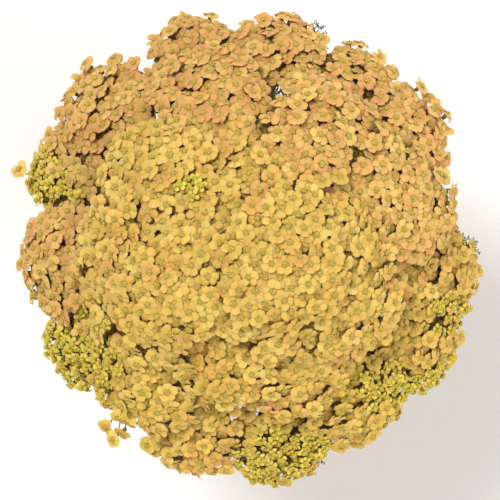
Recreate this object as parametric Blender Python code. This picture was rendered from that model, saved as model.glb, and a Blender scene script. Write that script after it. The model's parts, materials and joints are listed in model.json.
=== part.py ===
"""Yarrow in a clay pot: flat flower heads on ferny stems, packed into one dome.

Metres, +Z up. The origin is the centre of the pot's foot, on the surface that it stands on.
Every stem carries one head of florets; stems and basal leaves stand in plain holes in the soil.
"""

import math
import random

import bmesh
import bpy
import numpy as np
from mathutils import Matrix, Vector
from mathutils.bvhtree import BVHTree

MM = 0.001
UP = Vector((0, 0, 1))
GOLDEN_ANGLE = math.pi * (3 - math.sqrt(5))
SEED = 7

# Clay pot
POT_HEIGHT = 118 * MM
POT_FOOT_RADIUS = 42 * MM
POT_NECK_RADIUS = 56 * MM
RIM_HEIGHT = 24 * MM
RIM_FOOT_RADIUS = 60 * MM
RIM_TOP_RADIUS = 63 * MM
POT_WALL = 6 * MM
POT_FLOOR = 8 * MM
POT_EDGE = 1.5 * MM
POT_SIDES = 32
SHARP_ANGLE = math.radians(35)
DRAINS = 3
DRAIN_RADIUS = 4.5 * MM
DRAIN_RING = 20 * MM
DRAIN_SIDES = 10

# Soil
SOIL_LEVEL = 104 * MM
SOIL_HEAP = 4 * MM
SOIL_LUMPS = 0.9 * MM
LUMP_LENGTH = 5.3 * MM
LUMP_WIDTH = 4.7 * MM
LUMP_PHASE = 1.0
SOIL_SIDES = 20
SOIL_RINGS = 3
HOLE_DEPTH = 12 * MM
GAP = 0.35 * MM
TEST_GAP = 1.6 * GAP

# Flower dome
DOME_RADIUS = 100 * MM
DOME_TOP = 276 * MM
DOME_DROP = 58 * MM
TILT_SHARE = 0.8

# Heads: x, y and radius in the dome's plan and lift above its surface, in millimetres, and colour.
# The list starts with the heads that lie on top of their neighbours.
HEADS = (
    (15, -7, 32, 8, "cream"),
    (-37, -16, 32, 6, "cream"),
    (-41, 26, 31, 4, "cream"),
    (68, 20, 30, 1, "peach"),
    (44, -26, 27, -1, "cream"),
    (34, 49, 31, -1, "peach"),
    (-17, 67, 29, -2, "peach"),
    (-8, 26, 24, -4, "cream"),
    (-12, -54, 22, -5, "yellow"),
    (-44, -60, 29, -6, "yellow"),
    (20, -56, 27, -8, "yellow"),
    (-81, -7, 28, -8, "peach"),
    (-62, 61, 27, -9, "peach"),
    (70, 52, 26, -9, "peach"),
    (14, 88, 24, -10, "peach"),
    (-79, 35, 25, -12, "peach"),
    (48, 74, 23, -12, "peach"),
    (86, -11, 24, -12, "yellow"),
    (-24, 88, 22, -13, "peach"),
    (47, -68, 27, -13, "yellow"),
    (75, -43, 26, -15, "yellow"),
    (-71, -43, 25, -15, "yellow"),
    (-24, -85, 25, -16, "yellow"),
    (14, -89, 24, -17, "yellow"),
)

# Florets, larger than life and fewer
FLORET_RADIUS = 7.4 * MM
FLORET_FILL = 1.02
FLORET_RIM = 2.5 * MM
FLORET_LEVELS = (2.6 * MM, 4.2 * MM, 5.8 * MM)
FLORET_CROWDING = 0.55
FLORET_DISH = 0.12
FLORET_CENTRE = 0.06
FIRST_SITE = 0.4
NEAR_SITES = 1.3
SMALLEST_FLORET = 0.7
FLORET_SHRINK = 0.12
OWN_SPACING = 12.4 * MM
OTHER_SPACING = 14.2 * MM
SETTLING_ROUNDS = 120
SETTLING_STEP = 0.25
PETALS = 5
PETAL_HALF_ANGLE = math.radians(18)
NOTCH = 0.70
NECK_RADIUS = 1.3 * MM
NECK_CORNERS = 3
CORE_DEPTH = 8 * MM
CORE_FALL = 0.26
SEAT_RADIUS = 2.6 * MM
SEAT_GAP = 2 * GAP

# Stems and their branches
STEM_ROOT_RADIUS = 1.7 * MM
STEM_TOP_RADIUS = 1.2 * MM
STEM_SIDES = 5
STEM_STEPS = 4
STEM_CLEAR = 3 * MM
STEM_RISE = 0.4
STEM_APPROACH = 0.3
STEM_SWINGS = (0.0, 0.12, -0.12, 0.24, -0.24, 0.36, -0.36)
CROWN_SHARE = 0.38
BRANCHES = 3
BRANCH_RADIUS = 0.75 * MM
BRANCH_FORK = 13 * MM
BRANCH_REACH = 0.5
BRANCH_BEND = 0.62
BRANCH_RISE = 0.55
BRANCH_SAG = 1.2 * MM
BRANCH_CLEAR = 2.2

# Leaves
BLADE = 0.9 * MM
RIB_HALF_WIDTH = 0.7 * MM
LEAFLET_LEAN = 0.45
LEAFLET_DROOP = 0.18
LEAFLET_FIRST = 0.16
LEAFLET_SPAN = 0.76
STEM_LEAF_LEVELS = (0.34, 0.6)
STEM_LEAF_LENGTHS = (46 * MM, 36 * MM)
STEM_LEAF_SPREAD = 0.1
STEM_LEAF_TURN = 0.15
STEM_LEAF_BARE = 0.16
STEM_LEAF_PAIRS = 3
STEM_LEAF_RISE = math.radians(55)
STEM_LEAF_BEND = math.radians(62)
STEM_LEAF_WIDTH = 0.36
LEAF_SWINGS = (0.0, 0.5, -0.5, 1.0, -1.0, 1.5, -1.5)
BASAL_LEAVES = 10
BASAL_RING = 45 * MM
BASAL_LENGTH = 76 * MM
BASAL_SPREAD = 0.08
BASAL_BARE = 0.2
BASAL_PAIRS = 7
BASAL_RISE = math.radians(84)
BASAL_BEND = math.radians(92)
BASAL_WIDTH = 0.22
BASAL_SWINGS = (0.0, 0.1, -0.1, 0.2, -0.2, 0.3, -0.3)

COLOURS = {
    "clay": (0.62, 0.27, 0.14),
    "soil": (0.045, 0.030, 0.020),
    "leaf": (0.075, 0.145, 0.040),
    "cream": (0.80, 0.56, 0.17),
    "peach": (0.78, 0.46, 0.18),
    "yellow": (0.80, 0.58, 0.10),
}
ROUGHNESS = {"clay": 0.85, "soil": 0.95, "leaf": 0.6, "cream": 0.6, "peach": 0.6, "yellow": 0.6}


def clear_scene():
    for obj in list(bpy.data.objects):
        bpy.data.objects.remove(obj, do_unlink=True)


def material(name):
    """A Principled material of one colour."""
    made = bpy.data.materials.new(name)
    made.use_nodes = True
    shader = made.node_tree.nodes["Principled BSDF"]
    shader.inputs["Base Color"].default_value = (*COLOURS[name], 1.0)
    shader.inputs["Roughness"].default_value = ROUGHNESS[name]
    shader.inputs["Metallic"].default_value = 0.0
    return made


def add_object(name, verts, faces, finish):
    """A named object with its faces turned outwards."""
    mesh = bpy.data.meshes.new(name)
    mesh.from_pydata([tuple(v) for v in verts], [], faces)
    work = bmesh.new()
    work.from_mesh(mesh)
    bmesh.ops.recalc_face_normals(work, faces=work.faces)
    work.to_mesh(mesh)
    work.free()
    mesh.materials.append(finish)
    obj = bpy.data.objects.new(name, mesh)
    bpy.context.scene.collection.objects.link(obj)
    return obj


def combine(base, pieces, operation, finish):
    """One Boolean of the base with closed (verts, faces) pieces, applied."""
    rest = bpy.data.collections.new(base.name + "_pieces")
    bpy.context.scene.collection.children.link(rest)
    for index, (verts, faces) in enumerate(pieces):
        piece = add_object(f"{base.name}_piece_{index}", verts, faces, finish)
        bpy.context.scene.collection.objects.unlink(piece)
        rest.objects.link(piece)
    change = base.modifiers.new("change", "BOOLEAN")
    change.operation = operation
    change.operand_type = "COLLECTION"
    change.collection = rest
    change.solver = "MANIFOLD"
    bpy.context.view_layer.update()
    shape = bpy.data.meshes.new_from_object(base.evaluated_get(bpy.context.evaluated_depsgraph_get()))
    base.modifiers.remove(change)
    base.data = shape
    for piece in list(rest.objects):
        bpy.data.objects.remove(piece, do_unlink=True)
    bpy.data.collections.remove(rest)


class Room:
    """The solids placed so far, and the test that a new one keeps its gap to them."""

    def __init__(self):
        self.placed = []

    def add(self, name, solid):
        self.placed.append((name, *self._tree(*solid)))

    def touched(self, solid, besides=()):
        """The faces of a solid that come within the gap of any placed one, but for those named."""
        verts, faces = solid
        tree, low, high = self._tree(grown(verts, faces), faces)
        found = set()
        for name, other, other_low, other_high in self.placed:
            if name not in besides and (low < other_high).all() and (other_low < high).all():
                found.update(pair[0] for pair in tree.overlap(other))
        return found

    @staticmethod
    def _tree(verts, faces):
        points = np.array([tuple(v) for v in verts])
        tree = BVHTree.FromPolygons([Vector(p) for p in points], faces)
        return tree, points.min(0), points.max(0)


def grown(verts, faces):
    """The solid's corners moved outwards by the gap."""
    work = bmesh.new()
    corners = [work.verts.new(v) for v in verts]
    for face in faces:
        work.faces.new([corners[i] for i in face])
    bmesh.ops.recalc_face_normals(work, faces=work.faces)
    work.normal_update()
    moved = [v.co + v.normal * TEST_GAP for v in corners]
    work.free()
    return moved


def circle(radius, height, sides):
    """The corners of a level ring about Z."""
    turns = [2 * math.pi * step / sides for step in range(sides)]
    return [(radius * math.cos(turn), radius * math.sin(turn), height) for turn in turns]


def bands(rings, sides, start=0):
    """Faces between rings of corners that follow each other in one list."""
    faces = []
    for ring in range(rings - 1):
        here = start + ring * sides
        for step in range(sides):
            after = (step + 1) % sides
            faces.append((here + step, here + after, here + sides + after, here + sides + step))
    return faces


def turned(profile, sides):
    """A solid turned about Z from (radius, height) points, its two ends closed by flat faces."""
    verts = [corner for radius, height in profile for corner in circle(radius, height, sides)]
    last = len(verts) - sides
    ends = [tuple(range(sides)), tuple(range(last, last + sides))]
    return verts, bands(len(profile), sides) + ends


def prism(x, y, radius, sides, low, high):
    """An upright prism that cuts a plain hole."""
    verts, faces = turned(((radius, low), (radius, high)), sides)
    return [(x + corner[0], y + corner[1], corner[2]) for corner in verts], faces


def pot_inner_radius(height):
    """The inside radius of the pot at a height above its foot."""
    share = (height - POT_FLOOR) / (POT_HEIGHT - POT_FLOOR)
    return POT_FOOT_RADIUS - POT_WALL + share * (RIM_TOP_RADIUS - POT_FOOT_RADIUS)


def build_pot(finish):
    neck = POT_HEIGHT - RIM_HEIGHT
    profile = (
        (POT_FOOT_RADIUS - POT_EDGE, 0.0),
        (POT_FOOT_RADIUS, POT_EDGE),
        (POT_NECK_RADIUS, neck - POT_EDGE),
        (RIM_FOOT_RADIUS - POT_EDGE, neck),
        (RIM_FOOT_RADIUS, neck + POT_EDGE),
        (RIM_TOP_RADIUS, POT_HEIGHT - POT_EDGE),
        (RIM_TOP_RADIUS - POT_EDGE, POT_HEIGHT),
        (pot_inner_radius(POT_HEIGHT), POT_HEIGHT),
        (pot_inner_radius(POT_FLOOR), POT_FLOOR),
    )
    pot = add_object("clay_pot", *turned(profile, POT_SIDES), finish)
    drains = []
    for turn in (2 * math.pi * step / DRAINS for step in range(DRAINS)):
        x = DRAIN_RING * math.cos(turn)
        y = DRAIN_RING * math.sin(turn)
        drains.append(prism(x, y, DRAIN_RADIUS, DRAIN_SIDES, -POT_FLOOR, 2 * POT_FLOOR))
    combine(pot, drains, "DIFFERENCE", finish)
    pot.data.shade_smooth()
    pot.data.set_sharp_from_angle(angle=SHARP_ANGLE)


def soil_height(x, y):
    """The soil's surface: a slight heap with shallow lumps."""
    share = math.hypot(x, y) / pot_inner_radius(SOIL_LEVEL)
    lumps = math.sin(x / LUMP_LENGTH + LUMP_PHASE) * math.cos(y / LUMP_WIDTH)
    return SOIL_LEVEL + SOIL_HEAP * (1 - share * share) + SOIL_LUMPS * lumps * (1 - share**4)


def build_soil(bases, finish):
    """The potting mix, with one plain hole for each (x, y, radius) of a stem or leaf stalk."""
    top_radius = pot_inner_radius(SOIL_LEVEL) - GAP
    verts = [(0, 0, soil_height(0, 0))]
    for ring in range(1, SOIL_RINGS + 1):
        for x, y, _ in circle(top_radius * ring / SOIL_RINGS, 0, SOIL_SIDES):
            verts.append((x, y, soil_height(x, y)))
    verts += circle(pot_inner_radius(POT_FLOOR) - GAP, POT_FLOOR + GAP, SOIL_SIDES)
    faces = [(0, 1 + step, 1 + (step + 1) % SOIL_SIDES) for step in range(SOIL_SIDES)]
    faces += bands(SOIL_RINGS + 1, SOIL_SIDES, start=1)
    faces.append(tuple(range(len(verts) - SOIL_SIDES, len(verts))))
    soil = add_object("potting_soil", verts, faces, finish)
    reach = 1 / math.cos(math.pi / STEM_SIDES)
    low = SOIL_LEVEL - HOLE_DEPTH
    high = SOIL_LEVEL + HOLE_DEPTH
    holes = [prism(x, y, (radius + GAP) * reach, STEM_SIDES, low, high) for x, y, radius in bases]
    combine(soil, holes, "DIFFERENCE", finish)


def dome_height(x, y):
    return DOME_TOP - DOME_DROP * (x * x + y * y) / DOME_RADIUS**2


def upright(place, normal):
    """A frame at a place with its +Z along the normal."""
    return Matrix.Translation(place) @ normal.to_track_quat("Z", "Y").to_matrix().to_4x4()


def head_frame(index, x, y, lift):
    """The head's own frame: its seat on the stem at the origin, +Z out of the dome."""
    slope = 2 * DOME_DROP * TILT_SHARE / DOME_RADIUS**2
    normal = Vector((slope * x, slope * y, 1)).normalized()
    top = Vector((x, y, dome_height(x, y) + lift))
    seat = top - normal * (CORE_DEPTH + FLORET_LEVELS[1])
    return upright(seat, normal) @ Matrix.Rotation(index * GOLDEN_ANGLE, 4, "Z")


def core_height(x, y, radius):
    """The core's upper surface in a head's own frame."""
    return CORE_DEPTH - CORE_FALL / radius * (x * x + y * y)


def first_sites(radius):
    """Floret sites in a head's own plane, by the sunflower rule."""
    count = round(FLORET_FILL * (radius / FLORET_RADIUS) ** 2)
    sites = []
    for k in range(count):
        reach = radius * math.sqrt((k + FIRST_SITE) / count)
        sites.append((reach * math.cos(k * GOLDEN_ANGLE), reach * math.sin(k * GOLDEN_ANGLE)))
    return sites


def settle(frames, radii):
    """Pushes the florets of all heads apart until they cover the dome evenly.

    Each keeps to its own head's disc, and stands further from other heads' florets than from its own.
    """
    owner = []
    places = []
    for index, radius in enumerate(radii):
        sites = first_sites(radius)
        owner += [index] * len(sites)
        places += sites
    owner = np.array(owner)
    places = np.array(places)
    turns = np.array([np.array(frame.to_3x3()) for frame in frames])[owner]
    origins = np.array([tuple(frame.translation) for frame in frames])[owner]
    reach = np.array(radii)[owner]
    spacing = np.where(owner[:, None] == owner[None, :], OWN_SPACING, OTHER_SPACING)
    for _ in range(SETTLING_ROUNDS):
        heights = core_height(places[:, 0], places[:, 1], reach)
        world = origins + np.einsum("nij,nj->ni", turns, np.column_stack([places, heights]))
        apart = world[:, None, :] - world[None, :, :]
        distance = np.linalg.norm(apart, axis=2)
        np.fill_diagonal(distance, 1.0)
        force = np.clip(spacing - distance, 0, None) / distance * SETTLING_STEP
        push = np.einsum("nij,ni->nj", turns, (apart * force[:, :, None]).sum(axis=1))
        places = places + push[:, :2]
        length = np.linalg.norm(places, axis=1)
        places = places * np.minimum(1, reach / np.maximum(length, MM))[:, None]
    return [[Vector(place) for place in places[owner == index]] for index in range(len(radii))]


def nearest_site(k, sites):
    """The distance from one floret's site to the next one's."""
    return min(((sites[k] - other).length for j, other in enumerate(sites) if j != k), default=1.0)


def site_levels(sites):
    """A stalk length for each floret, unlike those of its near neighbours."""
    levels = []
    for i, here in enumerate(sites):
        near = [levels[j] for j in range(i) if (sites[j] - here).length < NEAR_SITES * OWN_SPACING]
        counts = [near.count(level) for level in FLORET_LEVELS]
        levels.append(FLORET_LEVELS[counts.index(min(counts))])
    return levels


def floret_rim(local, radius, turn):
    """The rim of a floret: rounded petals, with a notch between each two."""
    rim = []
    for petal in range(PETALS):
        middle = turn + 2 * math.pi * petal / PETALS
        for angle, reach, fall in (
            (middle - PETAL_HALF_ANGLE, 1.0, FLORET_DISH),
            (middle + PETAL_HALF_ANGLE, 1.0, FLORET_DISH),
            (middle + math.pi / PETALS, NOTCH, 0.0),
        ):
            flat = radius * reach
            rim.append(local @ Vector((flat * math.cos(angle), flat * math.sin(angle), -radius * fall)))
    return rim


def bridge(rim, neck, rim_angles, neck_angles):
    """Triangles between a floret's rim and the small triangle that it grows from."""
    count = len(rim)
    owners = []
    for i in range(count):
        half = math.remainder(rim_angles[(i + 1) % count] - rim_angles[i], 2 * math.pi) / 2
        gaps = [abs(math.remainder(rim_angles[i] + half - angle, 2 * math.pi)) for angle in neck_angles]
        owners.append(neck[gaps.index(min(gaps))])
    faces = []
    for i in range(count):
        after = (i + 1) % count
        faces.append((rim[i], rim[after], owners[i]))
        if owners[i] != owners[after]:
            faces.append((rim[after], owners[after], owners[i]))
    return faces


def head_core(frame, radius, sites, turns):
    """The core under the florets: corners, faces, and each floret's opening in it."""
    hull = bmesh.new()
    necks = {}
    for k, site in enumerate(sites):
        for corner in range(NECK_CORNERS):
            angle = turns[k] + 2 * math.pi * corner / NECK_CORNERS
            x = site.x + NECK_RADIUS * math.cos(angle)
            y = site.y + NECK_RADIUS * math.sin(angle)
            necks[hull.verts.new((x, y, core_height(x, y, radius)))] = k
    for corner in circle(SEAT_RADIUS, 0, STEM_SIDES):
        hull.verts.new(corner)
    bmesh.ops.convex_hull(hull, input=hull.verts, use_existing_faces=False)
    hull.verts.index_update()
    verts = [frame @ v.co for v in hull.verts]
    faces = []
    for face in hull.faces:
        here = {necks.get(v) for v in face.verts}
        if len(here) > 1 or None in here:
            faces.append(tuple(v.index for v in face.verts))
    openings = [[] for _ in sites]
    for vert, k in necks.items():
        openings[k].append(vert.index)
    hull.free()
    return verts, faces, openings


def head_solid(frame, radius, sites, turns, scales):
    """A low core with florets standing out of it, as (verts, faces, floret of each face)."""
    verts, faces, openings = head_core(frame, radius, sites, turns)
    owner = [None] * len(faces)
    fall = 2 * CORE_FALL / radius
    for k, (site, level) in enumerate(zip(sites, site_levels(sites))):
        reach = scales[k] * min(FLORET_RADIUS, nearest_site(k, sites) * FLORET_CROWDING)
        normal = Vector((fall * site.x, fall * site.y, 1)).normalized()
        foot = Vector((site.x, site.y, core_height(site.x, site.y, radius)))
        local = upright(foot + normal * level, normal)
        rim = floret_rim(local, reach, turns[k])
        start = len(verts)
        ring = list(range(start, start + len(rim)))
        centre = start + len(rim)
        verts += [frame @ point for point in rim]
        verts.append(frame @ (local @ Vector((0, 0, reach * FLORET_CENTRE))))
        rim_angles = [math.atan2(p.y - site.y, p.x - site.x) for p in rim]
        neck_angles = [turns[k] + 2 * math.pi * corner / NECK_CORNERS for corner in range(NECK_CORNERS)]
        grown_faces = [(ring[i], ring[(i + 1) % len(ring)], centre) for i in range(len(ring))]
        grown_faces += bridge(ring, openings[k], rim_angles, neck_angles)
        faces += grown_faces
        owner += [k] * len(grown_faces)
    return verts, faces, owner


def fitted_head(frame, radius, sites, room, draws):
    """A head's solid; florets too near to a head above it shrink, then are left out."""
    florets = [(site, draws.uniform(0, 2 * math.pi), 1.0) for site in sites]
    while True:
        verts, faces, owner = head_solid(frame, radius, *zip(*florets))
        touched = room.touched((verts, faces))
        crowded = {owner[i] for i in touched} - {None}
        if touched and not crowded:
            outermost = max(range(len(florets)), key=lambda k: florets[k][0].length)
            del florets[outermost]
        elif crowded:
            smaller = [
                (site, turn, scale - FLORET_SHRINK if k in crowded else scale)
                for k, (site, turn, scale) in enumerate(florets)
            ]
            florets = [floret for floret in smaller if floret[2] > SMALLEST_FLORET]
        else:
            return verts, faces


def tube(points, radii, sides):
    """A straight-sided tube through the points, closed at both ends."""
    verts = []
    for i, point in enumerate(points):
        before = points[max(i - 1, 0)]
        after = points[min(i + 1, len(points) - 1)]
        ahead = (after - before).normalized()
        side = ahead.cross(Vector((0, 1, 0))).normalized()
        across = ahead.cross(side)
        for x, y, _ in circle(radii[i], 0, sides):
            verts.append(point + side * x + across * y)
    last = len(verts) - sides
    ends = [tuple(range(sides)), tuple(range(last, last + sides))]
    return verts, bands(len(points), sides) + ends


def bezier(a, b, c, d, t):
    s = 1 - t
    return a * s**3 + b * 3 * s * s * t + c * 3 * s * t * t + d * t**3


def stem_path(base, frame):
    """From the hole in the soil, upright, then out and up to the head's seat."""
    normal = (frame.to_3x3() @ UP).normalized()
    top = frame.translation - normal * SEAT_GAP
    foot = Vector((base.x, base.y, SOIL_LEVEL - HOLE_DEPTH + GAP))
    start = Vector((base.x, base.y, SOIL_LEVEL + SOIL_HEAP + STEM_CLEAR))
    span = (top - start).length
    first = start + UP * STEM_RISE * span
    second = top - normal * STEM_APPROACH * span
    return [foot] + [bezier(start, first, second, top, i / STEM_STEPS) for i in range(STEM_STEPS + 1)]


def fitted_stem(index, x, y, frame, room):
    """A stem's path and tube, its foot swung about the crown until it is clear of the rest."""
    taper = (STEM_TOP_RADIUS - STEM_ROOT_RADIUS) / STEM_STEPS
    radii = [STEM_ROOT_RADIUS] + [STEM_ROOT_RADIUS + taper * i for i in range(STEM_STEPS + 1)]
    for swing in STEM_SWINGS:
        base = Matrix.Rotation(swing, 2) @ Vector((x, y)) * CROWN_SHARE
        path = stem_path(base, frame)
        stem = tube(path, radii, STEM_SIDES)
        if not room.touched(stem, besides=(f"head_{index + 1:02d}",)):
            return path, stem
    raise ValueError(f"no room for stem {index + 1}")


def branch(frame, path, radius, turn):
    """One ray of the flower head, from a fork on the stem to just under the core."""
    below = (path[-2] - path[-1]).normalized()
    fork = frame.inverted() @ (path[-1] + below * BRANCH_FORK)
    rim = radius - FLORET_RIM
    reach = BRANCH_REACH * rim
    under = core_height(rim, 0, radius) * (reach - SEAT_RADIUS) / (rim - SEAT_RADIUS)
    tip = Vector((reach * math.cos(turn), reach * math.sin(turn), under - BRANCH_CLEAR * BRANCH_RADIUS))
    middle = tip * BRANCH_BEND
    middle.z = fork.z + (tip.z - fork.z) * BRANCH_RISE - BRANCH_SAG
    return tube([frame @ point for point in (fork, middle, tip)], [BRANCH_RADIUS] * 3, 3)


def arched_rib(root, outward, length, rise, bend, bare, pairs):
    """Points along a rib that starts at an angle and bends down: a bare part, then equal steps."""
    steps = [length * bare] + [length * (1 - bare) / (pairs + 1)] * (pairs + 1)
    points = [root]
    gone = 0.0
    for step in steps:
        angle = rise - bend * (gone + 0.5 * step) / length
        points.append(points[-1] + (outward * math.cos(angle) + UP * math.sin(angle)) * step)
        gone += step
    return points


def leaf_solid(rib, outward, width, pairs):
    """A ferny leaf: pointed leaflets cut to the rib on both sides, on its last spans but one."""
    side = outward.cross(UP).normalized()
    verts = []
    faces = []
    corners = rib[:-1]
    for i, point in enumerate(corners):
        ahead = (rib[i + 1] - rib[max(i - 1, 0)]).normalized()
        normal = side.cross(ahead)
        for along, over in ((-1, 1), (1, 1), (1, -1), (-1, -1)):
            verts.append(point + side * RIB_HALF_WIDTH * along + normal * 0.5 * BLADE * over)
    faces.append((0, 1, 2, 3))
    first_pair = len(corners) - 1 - pairs
    for i in range(len(corners) - 1):
        a = 4 * i
        b = a + 4
        faces += [(a, a + 1, b + 1), (a, b + 1, b), (a + 3, b + 3, b + 2), (a + 3, b + 2, a + 2)]
        share = (i - first_pair + 1) / (pairs + 1)
        forward = (rib[i + 1] - rib[i]).normalized()
        down = forward.cross(side)
        for hand, near, far, near_low, far_low in (
            (-1, a, b, a + 3, b + 3),
            (1, a + 1, b + 1, a + 2, b + 2),
        ):
            if i < first_pair:
                faces.append((near, far, far_low, near_low))
                continue
            reach = 0.5 * width * math.sin(math.pi * (LEAFLET_FIRST + LEAFLET_SPAN * share))
            lean = forward * LEAFLET_LEAN + down * LEAFLET_DROOP
            tip = len(verts)
            verts.append((rib[i] + rib[i + 1]) / 2 + (side * hand + lean) * reach)
            faces += [(near, far, tip), (near_low, far_low, tip), (near, near_low, tip), (far, far_low, tip)]
    last = 4 * (len(corners) - 1)
    tip = len(verts)
    verts.append(rib[-1])
    faces += [(last + k, last + (k + 1) % 4, tip) for k in range(4)]
    return verts, faces


def stem_leaves(name, path, room, draws):
    """The leaves of one stem that find room, pointing away from the plant's middle."""
    pieces = []
    outward_angle = math.atan2(path[-1].y, path[-1].x)
    for share, full_length in zip(STEM_LEAF_LEVELS, STEM_LEAF_LENGTHS):
        place = 1 + share * (len(path) - 2)
        low = int(place)
        root = path[low].lerp(path[low + 1], place - low)
        for swing in LEAF_SWINGS:
            angle = outward_angle + swing + draws.uniform(-STEM_LEAF_TURN, STEM_LEAF_TURN)
            outward = Vector((math.cos(angle), math.sin(angle), 0))
            length = full_length * draws.uniform(1 - STEM_LEAF_SPREAD, 1 + STEM_LEAF_SPREAD)
            arch = (STEM_LEAF_RISE, STEM_LEAF_BEND, STEM_LEAF_BARE, STEM_LEAF_PAIRS)
            rib = arched_rib(root, outward, length, *arch)
            leaf = leaf_solid(rib, outward, STEM_LEAF_WIDTH * length, STEM_LEAF_PAIRS)
            if not room.touched(leaf, besides=(name,)):
                pieces.append(leaf)
                room.add(name, leaf)
                break
    return pieces


def basal_leaf(index, room, draws):
    """A long leaf from the crown's edge: its place, and a solid that arches over the pot's rim."""
    length = BASAL_LENGTH * draws.uniform(1 - BASAL_SPREAD, 1 + BASAL_SPREAD)
    for swing in BASAL_SWINGS:
        angle = 2 * math.pi * index / BASAL_LEAVES + swing
        outward = Vector((math.cos(angle), math.sin(angle), 0))
        place = outward * BASAL_RING
        foot = place + UP * (SOIL_LEVEL - HOLE_DEPTH + GAP)
        root = place + UP * (SOIL_LEVEL + SOIL_HEAP)
        arch = (BASAL_RISE, BASAL_BEND, BASAL_BARE, BASAL_PAIRS)
        rib = [foot] + arched_rib(root, outward, length, *arch)
        leaf = leaf_solid(rib, outward, BASAL_WIDTH * length, BASAL_PAIRS)
        if not room.touched(leaf):
            return place, leaf
    raise ValueError(f"no room for basal leaf {index + 1}")


def main():
    clear_scene()
    draws = random.Random(SEED)
    finish = {name: material(name) for name in COLOURS}
    build_pot(finish["clay"])
    room = Room()
    frames = [head_frame(i, x * MM, y * MM, lift * MM) for i, (x, y, _, lift, _) in enumerate(HEADS)]
    radii = [radius * MM - FLORET_RIM for _, _, radius, _, _ in HEADS]
    for index, sites in enumerate(settle(frames, radii)):
        name = f"head_{index + 1:02d}"
        head = fitted_head(frames[index], radii[index], sites, room, draws)
        room.add(name, head)
        add_object(name, *head, finish[HEADS[index][4]])

    paths = []
    stems = []
    for index, (x, y, _, _, _) in enumerate(HEADS):
        path, stem = fitted_stem(index, x * MM, y * MM, frames[index], room)
        room.add(f"stem_{index + 1:02d}", stem)
        paths.append(path)
        stems.append([stem])
    for index, path in enumerate(paths):
        name = f"stem_{index + 1:02d}"
        for ray in range(BRANCHES):
            turn = index * GOLDEN_ANGLE + 2 * math.pi * ray / BRANCHES
            piece = branch(frames[index], path, radii[index], turn)
            if not room.touched(piece, besides=(name,)):
                room.add(name, piece)
                stems[index].append(piece)

    bases = [(path[0].x, path[0].y, STEM_ROOT_RADIUS) for path in paths]
    stalk_radius = math.hypot(RIB_HALF_WIDTH, 0.5 * BLADE)
    for index in range(BASAL_LEAVES):
        name = f"basal_leaf_{index + 1:02d}"
        place, leaf = basal_leaf(index, room, draws)
        room.add(name, leaf)
        add_object(name, *leaf, finish["leaf"])
        bases.append((place.x, place.y, stalk_radius))
    for index, path in enumerate(paths):
        name = f"stem_{index + 1:02d}"
        stems[index] += stem_leaves(name, path, room, draws)
        stem = add_object(name, *stems[index][0], finish["leaf"])
        combine(stem, stems[index][1:], "UNION", finish["leaf"])
    build_soil(bases, finish["soil"])


main()
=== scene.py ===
"""Looks for the potted yarrow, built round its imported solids.

Metres, +Z up, +Y at the photograph's top edge. Every flower head becomes single florets with
petals, disc and involucre on branched stalks, and every leaf is cut twice, as on the real plant.
"""

import json
import math

import bmesh
import bpy
import numpy as np
from mathutils import Matrix, Vector

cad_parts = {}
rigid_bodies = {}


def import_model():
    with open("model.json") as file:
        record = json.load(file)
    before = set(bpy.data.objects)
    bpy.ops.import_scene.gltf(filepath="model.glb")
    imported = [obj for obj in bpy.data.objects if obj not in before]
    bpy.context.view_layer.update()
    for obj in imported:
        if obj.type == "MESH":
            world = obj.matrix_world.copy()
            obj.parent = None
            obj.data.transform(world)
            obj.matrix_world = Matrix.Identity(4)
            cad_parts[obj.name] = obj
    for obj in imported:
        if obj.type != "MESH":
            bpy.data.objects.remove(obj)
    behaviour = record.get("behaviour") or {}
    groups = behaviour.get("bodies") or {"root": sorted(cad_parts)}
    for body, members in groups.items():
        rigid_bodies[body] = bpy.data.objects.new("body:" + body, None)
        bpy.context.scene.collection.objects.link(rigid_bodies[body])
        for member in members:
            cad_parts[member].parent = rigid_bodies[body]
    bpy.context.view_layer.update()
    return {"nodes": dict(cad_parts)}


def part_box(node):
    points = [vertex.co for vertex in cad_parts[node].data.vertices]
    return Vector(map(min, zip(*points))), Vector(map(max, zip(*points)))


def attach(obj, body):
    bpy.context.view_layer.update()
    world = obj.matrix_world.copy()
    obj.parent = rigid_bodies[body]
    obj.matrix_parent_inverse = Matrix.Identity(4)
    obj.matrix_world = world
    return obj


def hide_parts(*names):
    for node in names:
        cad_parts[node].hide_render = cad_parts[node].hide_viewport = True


MM = 0.001
GOLDEN_ANGLE = math.pi * (3 - math.sqrt(5))
UP = np.array((0.0, 0.0, 1.0))

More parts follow.
